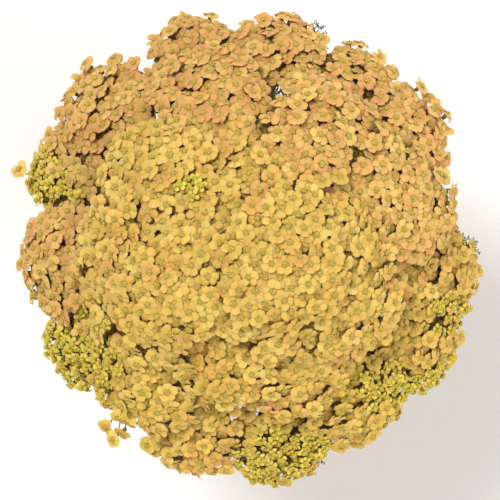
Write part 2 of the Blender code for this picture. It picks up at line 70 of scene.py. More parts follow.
# Heads, from the top of the pile down. Place, radius and lift above the dome in mm, as the solids
# have them; then colour, floret size against the largest, and petal warmth.
HEADS = (
    (15, -7, 32, 8, "cream", 1.00, 0.25),
    (-37, -16, 32, 6, "cream", 1.00, 0.30),
    (-41, 26, 31, 4, "cream", 1.00, 0.40),
    (68, 20, 30, 1, "peach", 0.96, 0.45),
    (44, -26, 27, -1, "cream", 0.98, 0.30),
    (34, 49, 31, -1, "peach", 1.00, 0.60),
    (-17, 67, 29, -2, "peach", 0.98, 0.65),
    (-8, 26, 24, -4, "cream", 0.96, 0.45),
    (-12, -54, 22, -5, "yellow", 0.96, 0.55),
    (-44, -60, 29, -6, "yellow", 0.98, 0.45),
    (20, -56, 27, -8, "yellow", 0.96, 0.60),
    (-81, -7, 28, -8, "peach", 0.88, 0.60),
    (-62, 61, 27, -9, "peach", 0.92, 0.65),
    (70, 52, 26, -9, "peach", 0.92, 0.80),
    (14, 88, 24, -10, "peach", 0.92, 0.75),
    (-79, 35, 25, -12, "peach", 0.86, 0.35),
    (48, 74, 23, -12, "peach", 0.94, 0.70),
    (86, -11, 24, -12, "yellow", 0.84, 0.70),
    (-24, 88, 22, -13, "peach", 0.90, 0.70),
    (47, -68, 27, -13, "yellow", 0.90, 0.40),
    (75, -43, 26, -15, "yellow", 0.88, 0.55),
    (-71, -43, 25, -15, "yellow", 0.84, 0.30),
    (-24, -85, 25, -16, "yellow", 0.92, 0.50),
    (14, -89, 24, -17, "yellow", 0.84, 0.40),
)

# Patches of small lemon-yellow florets: x, y and radius in mm
LEMON_PATCHES = (
    (-24, 26, 6), (-88, 28, 12), (-76, 24, 6), (-72, -45, 19), (-60, -50, 9), (10, -92, 17),
    (30, -85, 7), (54, -61, 9), (65, -57, 9), (84, -29, 10), (82, -57, 10),
)

# Single florets, given one by one: head, x and y in mm, depth below their neighbours, and lean outwards.
# The first stand out at the rim, seen side-on, and the others close the deep gaps between heads.
STRAYS = (
    (12, -69, 78, 1, 2.2), (12, -57, 80, 1, 2.2), (12, -72, 71, 3, 1.0),
    (9, -57, -81, 2, 1.0), (9, -53, -79, 4, 0.8), (9, -60, -76, 3, 0.8), (15, -97, 33, 2, 1.2),
    (17, 62, -7, 5, 0.0), (17, 63, -13, 6, 0.1), (17, 65, -19, 6, 0.2), (17, 68, -24, 6, 0.2),
    (8, -6, -68, 5, 0.2), (8, 0, -70, 5, 0.2), (8, -3, -75, 6, 0.3),
)

# The dome that the heads make together, as the solids have it
DOME_RADIUS = 100 * MM
DOME_TOP = 276 * MM
DOME_DROP = 58 * MM
TILT_SHARE = 0.8
CAP_TOP = 12.2 * MM
CAP_FALL = 0.26
SOLID_RIM = 2.5 * MM

# Florets
FLORET_RADIUS = 4.7 * MM
SMALL_RADIUS = 3.1 * MM
SMALL_LIMIT = 1.1 * SMALL_RADIUS
SPACING = 1.34
ELBOW = 0.8
STALK_REACH = 9 * MM
CLEAR_ABOVE = 3.5 * MM
HIDDEN_INSIDE = 9 * MM
BRIM_INSET = 0.8
SITE_STEP = 0.8 * MM
SITE_NOISE = 1.2 * MM
LEVEL_NOISE = 1.8 * MM
TILT_NOISE = math.radians(20)
STRAY_SIZE = 0.9
STRAY_NEIGHBOURS = 4

# Passes that fill the gaps with lower florets: share of its radius that each floret covers, least
# and most depth below the cap, spacing, and the most florets added
FILL_PASSES = (
    (0.92, (2.5 * MM, 6.0 * MM), 1.10, 1000),
    (0.74, (4.0 * MM, 8.0 * MM), 0.9, 320),
)
FILL_ELBOW = 0.35
FILL_REACH = 100.5 * MM
BRIM = 1.4
PLAN_REACH = 106 * MM
PLAN_STEP = 1.5 * MM

# Petal rings: the petal counts to draw from, petal length and half width
BROAD_PETALS = ((5, 5, 5, 6, 6, 4), 3.95 * MM, 2.35 * MM)
SMALL_PETALS = ((4, 5, 5), 2.3 * MM, 1.15 * MM)
BROAD_KINDS = 16
SMALL_KINDS = 8

# Discs: width, flowers, lobe radius, lift, share of open flowers, and the tone of small florets
BROAD_DISC = (1.05, 8, 0.78 * MM, 0.60 * MM, 0.8, 0)
SMALL_DISC = (0.85, 7, 0.88 * MM, 1.2 * MM, 0.9, 1)
DISC_KINDS = 6
SMALL_DISC_KINDS = 5

# Petals and involucres
PETAL_START = 0.7 * MM
PETAL_COLUMNS = 7
PETAL_ROWS = (0.0, 0.4, 0.75, 1.0)
PETAL_CLAW = 0.36
PETAL_WIDEST = 0.6
PETAL_ROUNDING = 0.50
PETAL_TOOTH = 0.075
PETAL_FURROW = 0.09 * MM
PETAL_THICKNESS = 0.3 * MM
INVOLUCRE_SIDES = 6
INVOLUCRE_LOW = -4.6 * MM
INVOLUCRE_HIGH = 0.55 * MM
INVOLUCRE_TONE_RISE = 5.5 * MM
INVOLUCRE_PROFILE = np.array((
    (0.30, -4.5), (0.98, -3.6), (1.16, -2.2), (1.12, -0.9), (1.36, -0.1), (1.05, 0.35),
)) * MM
DISC_REACH = 1.2 * MM
INVOLUCRE_FOOT = 4.4 * MM

# The body under each head's florets: rings from its middle out, then two on its underside
CORE_DEPTH = 5.8 * MM
CORE_INSET = 5.5 * MM
CORE_LUMPS = 0.7 * MM
CORE_SIDES = 30
CORE_SHARES = (0.12, 0.3, 0.45, 0.6, 0.74, 0.88, 1)
CORE_UNDER_SHARES = (0.9, 0.5)

# Stalks
PEDICEL_RADIUS = 0.32 * MM
BRANCH_RADIUS = 0.75 * MM
BRANCH_FORK = 13 * MM
BRANCH_DROP = 11 * MM
BRANCH_SAG = 1.5 * MM
HUB_REACH = 0.62
FLORETS_PER_BRANCH = 9
STEM_ROOT_RADIUS = 1.7 * MM
STEM_TOP_RADIUS = 1.15 * MM
STEM_START = 7 * MM
STEM_SINK = 8 * MM
STEM_SEAT_GAP = 0.7 * MM
STEM_STEPS = 12
STEM_SIDES = 10
STEM_RIBS = 0.09

# Leaves. Levels are shares of a stem's run, an arch is its rise and its bend, and cuts are the
# pairs of pinnae and the cuts along each. The solids' leaves show where the longer ones go.
SOLID_LEAF_LEVELS = (0.34, 0.6)
SOLID_LEAF_BAND = (-3 * MM, 26 * MM)
SOLID_LEAF_REACH = 12 * MM
MORE_LEAF_LEVELS = (0.18, 0.44, 0.70)
LEVEL_STEPS = 40
STEM_LEAF_ARCH = (math.radians(55), math.radians(62))
STEM_LEAF_STEPS = 12
STEM_LEAF_WIDTH = 0.36
STEM_LEAF_CUTS = (9, 2)
BASAL_ARCH = (math.radians(84), math.radians(92))
BASAL_STEPS = 24
BASAL_LEAVES = 10
BASAL_WIDTH = 17 * MM
BASAL_CUTS = (20, 3)
BASAL_STALK = 0.7 * MM
LEAF_BARE = 0.12
RIB_RADII = (0.55 * MM, 0.16 * MM)
PINNA_SWEEP = math.radians(38)
PINNA_WIDTH = 0.55 * MM
CUT_SPREAD = math.radians(42)
CUT_WIDTH = 0.34 * MM
BLADE_WIDEST = 0.45
BLADE_THICKNESS = 0.22
BLADE_FACES = np.array([
    (0, 1, 4), (1, 2, 4), (2, 3, 4), (3, 0, 4), (1, 0, 5), (2, 1, 5), (3, 2, 5), (0, 3, 5),
])

# Soil
SOIL_LEVEL = 104 * MM
SOIL_HEAP = 4 * MM
SOIL_FOOT_RADIUS = 38 * MM
SOIL_SIDES = 96
SOIL_RINGS = 28
CRUMBS = 900

# Pot
POT_FOOT = 42 * MM
POT_NECK = 56 * MM
POT_LEDGE = 60 * MM
POT_RIM_HEIGHT = 24 * MM
POT_WALL = 6 * MM
POT_FLOOR = 8 * MM
POT_SIDES = 96
POT_STEP = 9 * MM
DRAINS = 3
DRAIN_RADIUS = 4.5 * MM
DRAIN_CIRCLE = 20 * MM

# Camera: the photograph's scale at the canopy's level, and its middle in pixels
PIXEL = 0.42 * MM
PHOTO_PIXELS = 500
PHOTO_MIDDLE = (2, -3)
CANOPY_LEVEL = 222 * MM
CAMERA_DISTANCE = 2.0
SENSOR = 36

# Lights: place, softness in degrees, and strength
LIGHTS = {
    "key": ((-0.34, 0.36, 1.10), 18, 2.00),
    "fill": ((0.85, -0.45, 0.95), 60, 1.30),
}

# Material slots of a head's piece
PETAL_SLOT = 0
DISC_SLOT = 1
BRACT_SLOT = 2
LEMON_SLOT = 3

# Cool and warm hue of each petal colour
COLOURS = {
    "cream": ((0.82, 0.535, 0.115), (0.82, 0.46, 0.100)),
    "peach": ((0.84, 0.52, 0.150), (0.84, 0.42, 0.130)),
    "yellow": ((0.84, 0.560, 0.095), (0.85, 0.49, 0.105)),
    "lemon": ((0.90, 0.70, 0.085), (0.91, 0.63, 0.095)),
}

draws = np.random.default_rng(11)


class Shape:
    """Corners, faces and tones that gather into one mesh. A tone is four numbers that materials read."""

    def __init__(self):
        self.corners = []
        self.tones = []
        self.faces = []
        self.count = 0

    def add(self, corners, faces, tones, finish=0):
        """Adds corners (n, 3), groups of faces as (m, 3) or (m, 4) corner numbers, and tones (n, 4)."""
        self.corners.append(corners)
        self.tones.append(np.broadcast_to(np.asarray(tones, float), (len(corners), 4)))
        self.faces += [(group + self.count, finish) for group in faces if len(group)]
        self.count += len(corners)

    def stamp(self, kind, places, shifts):
        """Adds copies of a kind at places (k, 4, 4), each with its tones shifted by (k, 4)."""
        corners = np.einsum("kij,nj->kni", places[:, :3, :3], kind.all_corners()) + places[:, None, :3, 3]
        tones = (kind.all_tones()[None] + shifts[:, None]).reshape(-1, 4)
        starts = self.count + kind.count * np.arange(len(places))
        for group, finish in kind.faces:
            self.faces.append(((group[None] + starts[:, None, None]).reshape(-1, group.shape[1]), finish))
        self.corners.append(corners.reshape(-1, 3))
        self.tones.append(tones)
        self.count += len(tones)

    def all_corners(self):
        return np.concatenate(self.corners)

    def all_tones(self):
        return np.concatenate(self.tones)

    def build(self, name, finishes, smooth=True):
        """The object, with its tones in a colour attribute named tone."""
        mesh = bpy.data.meshes.new(name)
        corners = self.all_corners()
        mesh.vertices.add(len(corners))
        mesh.vertices.foreach_set("co", corners.astype(np.float32).ravel())
        loops = np.concatenate([group.ravel() for group, _ in self.faces])
        sizes = np.concatenate([np.full(len(group), group.shape[1]) for group, _ in self.faces])
        slots = np.concatenate([np.full(len(group), finish) for group, finish in self.faces])
        mesh.loops.add(len(loops))
        mesh.loops.foreach_set("vertex_index", loops.astype(np.int32))
        mesh.polygons.add(len(sizes))
        starts = np.concatenate([[0], np.cumsum(sizes)[:-1]])
        mesh.polygons.foreach_set("loop_start", starts.astype(np.int32))
        mesh.polygons.foreach_set("material_index", slots.astype(np.int32))
        mesh.update(calc_edges=True)
        mesh.polygons.foreach_set("use_smooth", np.full(len(sizes), smooth))
        tone = mesh.attributes.new("tone", "FLOAT_COLOR", "POINT")
        tone.data.foreach_set("color", self.all_tones().astype(np.float32).ravel())
        for finish in finishes:
            mesh.materials.append(finish)
        return new_object(name, mesh)


def new_object(name, data):
    """A new object, linked into the scene."""
    made = bpy.data.objects.new(name, data)
    bpy.context.scene.collection.objects.link(made)
    return made


def unit(vector):
    return vector / np.linalg.norm(vector)


def level_unit(vector):
    """The level direction of a vector."""
    return unit(np.array((vector[0], vector[1], 0.0)))


def basis(normal):
    """Columns of a right-handed frame with its third axis along the normal."""
    side = np.cross((0.0, 1.0, 0.0) if abs(normal[1]) < 0.9 else (1.0, 0.0, 0.0), normal)
    side = unit(side)
    return np.column_stack([side, np.cross(normal, side), normal])


def bezier(points, t):
    """A point on the curve with three or four control points."""
    while len(points) > 1:
        points = [a * (1 - t) + b * t for a, b in zip(points, points[1:])]
    return points[0]


def directions(path):
    """The unit direction at each point of a path."""
    ahead = np.gradient(np.array(path), axis=0)
    return ahead / np.linalg.norm(ahead, axis=1)[:, None]


def turn_matrix(angle, axis):
    """A rotation about "X", "Z" or any vector, as an array."""
    return np.array(Matrix.Rotation(angle, 3, axis))


def ring(radius, height, sides):
    """Corners round the upright axis; radius and height are numbers, or have one for each corner."""
    turns = 2 * math.pi * np.arange(sides) / sides
    return np.column_stack([radius * np.cos(turns), radius * np.sin(turns), np.full(sides, height)])


def ring_quads(sides, rows):
    """Quads that join each ring of corners to the next."""
    here = np.arange(sides)
    after = (here + 1) % sides
    quads = np.column_stack([here, after, after + sides, here + sides])
    return (quads[None] + sides * np.arange(rows - 1)[:, None, None]).reshape(-1, 4)


def closed_rings(rings, first, last, downward=False):
    """Corners and faces of a body of rings, from a first middle up to a last one, or downward."""
    rows = len(rings)
    sides = len(rings[0])
    count = rows * sides
    corners = np.vstack([*rings, first, last])
    here = np.arange(sides)
    after = (here + 1) % sides
    end = count - sides
    faces = [
        ring_quads(sides, rows),
        np.column_stack([after, here, np.full(sides, count)]),
        np.column_stack([here + end, after + end, np.full(sides, count + 1)]),
    ]
    if downward:
        faces = [np.roll(group[:, ::-1], 1, axis=1) for group in faces]
    return corners, faces


def tube(shape, path, radii, sides, tones, ribs=0.0):
    """A closed tube along a path; ribs makes every second corner stand in by that share."""
    ahead = directions(path)
    side = basis(ahead[0])[:, 0]
    profile = ring(1 - ribs * (np.arange(sides) % 2), 0.0, sides)
    rings = []
    for point, forward, radius in zip(path, ahead, radii):
        side = unit(side - forward * side.dot(forward))
        across = np.cross(forward, side)
        rings.append(point + radius * (np.outer(profile[:, 0], side) + np.outer(profile[:, 1], across)))
    corners, faces = closed_rings(rings, path[0], path[-1])
    shape.add(corners, faces, tones)


def petal(length, half_width, rise, droop, dome, twist):
    """One ray petal along +X: broad, rounded, with a three-toothed tip and two shallow furrows."""
    across = np.linspace(-1, 1, PETAL_COLUMNS)
    furrow = 0.5 - 0.5 * np.cos(3 * math.pi * across)
    zeros = np.zeros(PETAL_COLUMNS)
    corners = []
    tones = []
    for t in PETAL_ROWS:
        spread = math.sin(min(t / PETAL_WIDEST, 1) * math.pi / 2)
        width = half_width * (PETAL_CLAW + (1 - PETAL_CLAW) * spread)
        round_off = PETAL_ROUNDING * t * t * across**4
        x = PETAL_START + length * (t - round_off - PETAL_TOOTH * t**4 * furrow)
        y = width * across
        z = rise * t - droop * t * t - dome * across**2 * (0.3 + 0.7 * t)
        z = z - PETAL_FURROW * furrow * math.sin(math.pi * (0.15 + 0.7 * t))
        corners.append(np.column_stack([x, y, z]))
        tones.append(np.column_stack([zeros + t, 0.5 + 0.5 * across, zeros, zeros]))
    corners = np.concatenate(corners)
    number = np.arange(len(corners)).reshape(-1, PETAL_COLUMNS)
    quads = np.stack([number[:-1, 1:], number[1:, 1:], number[1:, :-1], number[:-1, :-1]], -1).reshape(-1, 4)
    rim = np.concatenate([number[0], number[1:, -1], number[-1, -2::-1], number[-2:0:-1, 0]])
    under = number[len(PETAL_ROWS) // 2, PETAL_COLUMNS // 2]
    corners = np.vstack([corners, corners[under] - (0, 0, PETAL_THICKNESS)])
    fan = np.column_stack([rim, np.roll(rim, -1), np.full(len(rim), len(corners) - 1)])
    tones = np.vstack([np.concatenate(tones), (0.5, 0.5, 0, 0)])
    return corners @ turn_matrix(twist, "X").T, [quads, fan], tones


def floret_kind(counts, length, half_width, finish):
    """A ring of petals, pinwheeled so that each lies over the next."""
    kind = Shape()
    count = draws.choice(counts)
    start = draws.uniform(0, 2 * math.pi)
    age = draws.uniform(0, 1)
    for k in range(count):
        long = length * draws.uniform(0.88, 1.06)
        wide = half_width * draws.uniform(0.88, 1.08) * (5.2 / (count + 0.4)) ** 0.5
        rise = (0.75 + 0.7 * draws.uniform(-1, 1)) * MM
        droop = (0.4 + 1.4 * age + 0.7 * draws.uniform(-1, 1)) * MM
        dome = draws.uniform(0.3, 0.85) * MM
        twist = math.radians(10) + math.radians(8) * draws.uniform(-1, 1)
        corners, faces, tones = petal(long, wide, rise, droop, dome, twist)
        turn = start + 2 * math.pi * (k + 0.16 * draws.uniform(-1, 1)) / count
        tones[:, 2] = 0.3 * draws.uniform()
        kind.add(corners @ turn_matrix(turn, "Z").T, faces, tones, finish)
    return kind


def star(radius):
    """An open disc floret: five short lobes round a sunken throat."""
    points = np.arange(10) % 2 == 0
    outline = ring(np.where(points, radius, 0.5 * radius), 0.30 * radius, len(points))
    corners, faces = closed_rings([outline], (0, 0, -1.4 * radius), (0, 0, 0.05 * radius))
    tones = np.zeros((len(corners), 4))
    tones[:len(points), 0] = np.where(points, 1.0, 0.6)
    return corners, faces, tones


def bud(radius):
    """A closed disc floret."""
    corners, faces = closed_rings([ring(radius, 0.0, 5)], (0, 0, -1.2 * radius), (0, 0, 0.95 * radius))
    tones = np.full((len(corners), 4), (0.45, 0.0, 0.0, 0.0))
    tones[-1, 0] = 0.75
    return corners, faces, tones


def disc_kind(width, flowers, lobe, lift, open_share, small):
    """The middle of a floret: involucre below, disc above, and its small flowers."""
    kind = Shape()
    rings = [ring(radius * width, height, INVOLUCRE_SIDES) for radius, height in INVOLUCRE_PROFILE]
    corners, faces = closed_rings(rings, (0, 0, INVOLUCRE_LOW), (0, 0, INVOLUCRE_HIGH))
    tones = np.zeros((len(corners), 4))
    tones[:, 0] = np.clip((corners[:, 2] - INVOLUCRE_LOW) / INVOLUCRE_TONE_RISE, 0, 1)
    tones[:-2, 1] = np.tile(np.arange(INVOLUCRE_SIDES) % 2, len(rings))
    kind.add(corners, faces, tones, BRACT_SLOT)
    for k in range(flowers):
        share = math.sqrt((k + 0.5) / flowers)
        turn = k * GOLDEN_ANGLE + draws.uniform(-0.3, 0.3)
        reach = DISC_REACH * width * share
        height = lift - 0.5 * lift * share**2 + draws.uniform(-0.08, 0.25) * MM
        outward = np.array((math.cos(turn), math.sin(turn), 0.0))
        lean = basis(unit(outward * share * 0.8 + UP))
        size = lobe * draws.uniform(0.85, 1.15)
        opened = draws.uniform() < open_share
        corners, faces, tones = star(size) if opened else bud(0.55 * size)
        tones[:, 1] = small
        tones[:, 2] = draws.uniform()
        kind.add(corners @ lean.T + outward * reach + UP * height, faces, tones, DISC_SLOT)
    return kind


def node_points(name):
    """The places of a solid's corners, each once."""
    points = np.array([tuple(v.co) for v in frame["nodes"][name].data.vertices])
    return np.unique(points.round(6), axis=0)


class Head:
    """A flower head's place on the dome, and the foot of the stem under it."""

    def __init__(self, index):
        x, y, radius, lift, self.colour, self.size, self.warmth = HEADS[index]
        self.name = f"{index + 1:02d}"
        middle = np.array((x, y, 0.0)) * MM
        middle[2] = DOME_TOP - DOME_DROP * middle.dot(middle) / DOME_RADIUS**2 + lift * MM
        slope = 2 * DOME_DROP * TILT_SHARE / DOME_RADIUS**2
        normal = unit(np.array((slope * middle[0], slope * middle[1], 1.0)))
        self.seat = middle - normal * CAP_TOP
        self.turn = basis(normal)
        self.radius = radius * MM
        self.fall = CAP_FALL / (self.radius - SOLID_RIM)
        self.stem_points = node_points("stem_" + self.name)
        low = self.stem_points[self.stem_points[:, 2] < SOIL_LEVEL - 2 * MM]
        self.foot = low.mean(axis=0)[:2]

    def cap(self, x, y):
        return CAP_TOP - self.fall * (x * x + y * y)

    def local(self, place):
        return (place - self.seat) @ self.turn

    def world(self, x, y, z):
        return self.seat + self.turn @ np.array((x, y, z))

    def normal_at(self, x, y):
        return unit(self.turn @ np.array((2 * self.fall * x, 2 * self.fall * y, 1.0)))

    def levels(self, lines):
        """The cap's height on upright lines, or minus infinity beyond its brim."""
        start = self.local(np.column_stack([lines, np.zeros(len(lines))]))
        ahead = self.turn[2]
        a = self.fall * (ahead[0]**2 + ahead[1]**2)
        b = ahead[2] + 2 * self.fall * (start[:, :2] @ ahead[:2])
        c = start[:, 2] - CAP_TOP + self.fall * (start[:, :2]**2).sum(axis=1)
        root = b * b - 4 * a * c
        meets = (root > 0) & (b > 0)
        z = -2 * c / np.where(meets, b + np.sqrt(np.maximum(root, 0)), 1)
        reach = np.linalg.norm(start[:, :2] + z[:, None] * ahead[:2], axis=1)
        return np.where(meets & (reach < BRIM * self.radius), z, -np.inf)

    def draw_radius(self, place):
        """A floret's radius, small in the lemon-yellow patches."""
        small = any(
            math.hypot(place[0] - x * MM, place[1] - y * MM) < reach * MM * draws.uniform(0.35, 1.15)
            for x, y, reach in LEMON_PATCHES
        )
        base = SMALL_RADIUS if small else FLORET_RADIUS * self.size
        return base * draws.uniform(0.92, 1.06)


class Crowd:
    """All florets placed so far."""

    def __init__(self):
        self.places = np.zeros((0, 3))
        self.normals = np.zeros((0, 3))
        self.radii = np.zeros(0)
        self.heads = np.zeros(0, int)

    def fits(self, place, normal, radius, head, spacing, elbow):
        """Whether a floret keeps its spacing, and stays off other heads' florets and stalks."""
        apart = place - self.places
        distance = np.linalg.norm(apart, axis=1)
        if (distance < spacing * (self.radii + radius) / 2).any():
            return False
        other = self.heads != head
        apart, distance, others = apart[other], distance[other], self.normals[other]
        for axes, sign in ((others, 1), (normal[None], -1)):
            along = sign * (apart * axes).sum(axis=1)
            aside = np.sqrt(np.maximum(distance**2 - along**2, 0))
            if ((aside < elbow * radius) & (along > -STALK_REACH) & (along < CLEAR_ABOVE)).any():
                return False
        return True

    def add(self, place, normal, radius, head):
        self.places = np.vstack([self.places, place])
        self.normals = np.vstack([self.normals, normal])
        self.radii = np.append(self.radii, radius)
        self.heads = np.append(self.heads, head)


def hidden_under(above, place):
    """Whether a place lies well inside and below a higher head's cap."""
    x, y, z = above.local(place)
    return math.hypot(x, y) < above.radius - HIDDEN_INSIDE and z < above.cap(x, y)


def place_florets(heads):
    """Fills each head's cap with florets from its middle outwards, the top heads first."""
    crowd = Crowd()
    for index, head in enumerate(heads):
        brim = head.radius - BRIM_INSET * FLORET_RADIUS * head.size
        count = int(brim / SITE_STEP) + 1
        grid = np.mgrid[-count:count + 1, -count:count + 1].reshape(2, -1).T * SITE_STEP
        grid = grid + draws.uniform(-0.4, 0.4, grid.shape) * SITE_STEP
        reach = np.linalg.norm(grid, axis=1)
        for k in np.argsort(reach + draws.uniform(0, SITE_NOISE, len(grid))):
            if reach[k] > brim:
                continue
            x, y = grid[k]
            place = head.world(x, y, head.cap(x, y) + draws.uniform(-1, 1) * LEVEL_NOISE)
            if any(hidden_under(above, place) for above in heads[:index]):
                continue
            normal = head.normal_at(x, y)
            radius = head.draw_radius(place)
            if crowd.fits(place, normal, radius, index, SPACING, ELBOW):
                crowd.add(place, normal, radius, index)
    return crowd


def fill_gaps(heads, crowd, covers, drop, spacing, limit):
    """Adds lower florets wherever an upright line still passes between the others."""
    steps = np.arange(-PLAN_REACH, PLAN_REACH, PLAN_STEP)
    lines = np.array(np.meshgrid(steps, steps)).reshape(2, -1).T
    levels = np.array([head.levels(lines) for head in heads])
    owner = levels.argmax(axis=0)
    uncovered = (levels.max(axis=0) > 0) & (np.hypot(*lines.T) < FILL_REACH)

    def cover(place, normal, radius):
        apart = lines - place[:2]
        rise = apart @ normal[:2] / normal[2]
        uncovered[apart[:, 0]**2 + apart[:, 1]**2 + rise**2 < (covers * radius) ** 2] = False

    for place, normal, radius in zip(crowd.places, crowd.normals, crowd.radii):
        cover(place, normal, radius)
    most = len(crowd.radii) + limit
    for k in draws.permutation(len(lines)):
        if not uncovered[k] or len(crowd.radii) == most:
            continue
        head = heads[owner[k]]
        place = np.array((*lines[k], levels[owner[k], k] - draws.uniform(*drop)))
        x, y, _ = head.local(place)
        normal = head.normal_at(x, y)
        radius = head.draw_radius(place)
        if crowd.fits(place, normal, radius, owner[k], spacing, FILL_ELBOW):
            crowd.add(place, normal, radius, owner[k])
            cover(place, normal, radius)


def floret_places(places, normals, scales):
    """Matrices that stand florets on their places, leaning a little at random."""
    made = np.zeros((len(places), 4, 4))
    for k, (place, normal, scale) in enumerate(zip(places, normals, scales)):
        lean = unit(normal + math.tan(TILT_NOISE) * draws.uniform(-1, 1, 3))
        spin = turn_matrix(draws.uniform(0, 2 * math.pi), "Z")
        made[k, :3, :3] = basis(lean) @ spin * scale
        made[k, :3, 3] = place
        made[k, 3, 3] = 1
    return made


def build_head(head, crowd, index, kinds, finishes):
    """Petals, discs and involucres of one head; returns the feet of its involucres."""
    own = crowd.heads == index
    radii = crowd.radii[own]
    small = radii < SMALL_LIMIT
    scales = radii / np.where(small, SMALL_RADIUS, FLORET_RADIUS)
    places = floret_places(crowd.places[own], crowd.normals[own], scales)
    count = len(places)
    shape = Shape()
    shifts = np.zeros((count, 4))
    shifts[:, 2] = draws.uniform(0, 0.7, count)
    shifts[:, 3] = np.clip(head.warmth + draws.uniform(-0.35, 0.35, count), 0, 1)
    for group, chosen in zip(kinds, (~small, ~small, small, small)):
        which = np.where(chosen, draws.integers(0, len(group), count), -1)
        for k, kind in enumerate(group):
            if (which == k).any():
                shape.stamp(kind, places[which == k], shifts[which == k])
    add_core(shape, head)
    piece = shape.build("florets_" + head.name, finishes)
    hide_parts("head_" + head.name)
    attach(piece, "root")
    return places[:, :3, 3] - places[:, :3, 2] * INVOLUCRE_FOOT


def add_core(shape, head):
    """The knobbly tangle of bracts and branchlets under the florets, as one closed body."""
    turns = 2 * math.pi * np.arange(CORE_SIDES) / CORE_SIDES
    ragged = 1 + sum(0.05 * np.sin(waves * turns + foot / MM) for waves, foot in zip((5, 11), head.foot))
    reach = (head.radius - CORE_INSET) * ragged
    levels = [(share, 0.0) for share in CORE_SHARES]
    levels += [(share, (2.5 + 4 * (1 - share)) * MM) for share in CORE_UNDER_SHARES]
    rings = []
    for share, below in levels:
        knobs = ring(reach * share, 0.0, CORE_SIDES)
        x = knobs[:, 0]
        y = knobs[:, 1]
        lumps = np.sin(x / (1.5 * MM)) * np.cos(y / (1.7 * MM)) + 0.6 * np.sin((x + 2 * y) / (2.3 * MM))
        knobs[:, 2] = head.cap(x, y) - CORE_DEPTH + CORE_LUMPS * lumps - below
        rings.append(knobs)
    corners, faces = closed_rings(rings, rings[0].mean(axis=0), rings[-1].mean(axis=0), downward=True)
    shape.add(head.seat + corners @ head.turn.T, faces, (0.8, 0.0, 1.0, 0.5), BRACT_SLOT)


def stray_florets(crowd):
    """Adds the listed florets, at their neighbours' height."""
    for index, x, y, depth, lean in STRAYS:
        place = np.array((x, y, 0.0)) * MM
        distance = np.linalg.norm(crowd.places[:, :2] - place[:2], axis=1)
        near = np.argsort(distance)[:STRAY_NEIGHBOURS]
        place[2] = crowd.places[near, 2].mean() - depth * MM
        crowd.add(place, unit(level_unit((x, y)) * lean + UP), STRAY_SIZE * FLORET_RADIUS, index)


def stem_path(head, steps):
    """The solid stem's run: upright from the soil, then out and up to the head's seat."""
    top = head.seat - head.turn[:, 2] * STEM_SEAT_GAP
    start = np.array((*head.foot, SOIL_LEVEL + STEM_START))
    span = np.linalg.norm(top - start)
    controls = [start, start + UP * 0.4 * span, top - head.turn[:, 2] * 0.3 * span, top]
    sunk = start - UP * (STEM_START + STEM_SINK)
    return np.array([sunk] + [bezier(controls, t) for t in np.linspace(0, 1, steps)])


def arch(root, outward, length, rise, bend, steps):
    """Points along a rib that starts at an angle and bends down."""
    angles = rise - bend * (np.arange(steps) + 0.5) / steps
    moves = np.outer(np.cos(angles), outward) + np.outer(np.sin(angles), UP)
    return root + np.vstack([np.zeros(3), np.cumsum(moves, axis=0)]) * length / steps


def arch_chord(angles, steps):
    """The distance between an arch's ends, for a length of one."""
    points = arch(np.zeros(3), np.array((1.0, 0.0, 0.0)), 1, *angles, steps)
    return np.linalg.norm(points[-1:] - points[:1])


class Blades:
    """Small pointed blades that gather for one leaf."""

    def __init__(self, tone):
        self.tone = tone
        self.rows = []
        self.tones = []

    def add(self, root, tip, across, normal, width, shade):
        """A thin closed body of eight triangles, widest a little below its middle."""
        middle = root + (tip - root) * BLADE_WIDEST
        half = across * width / 2
        raised = normal * BLADE_THICKNESS * width
        self.rows.append((root, middle + half, tip, middle - half, middle - raised * 0.3, middle - raised))
        self.tones.append((shade, 0.5, self.tone, draws.uniform()))

    def build(self, shape):
        corners = np.array(self.rows)
        faces = (BLADE_FACES[None] + 6 * np.arange(len(corners))[:, None, None]).reshape(-1, 3)
        shape.add(corners.reshape(-1, 3), [faces], np.repeat(np.array(self.tones), 6, axis=0))


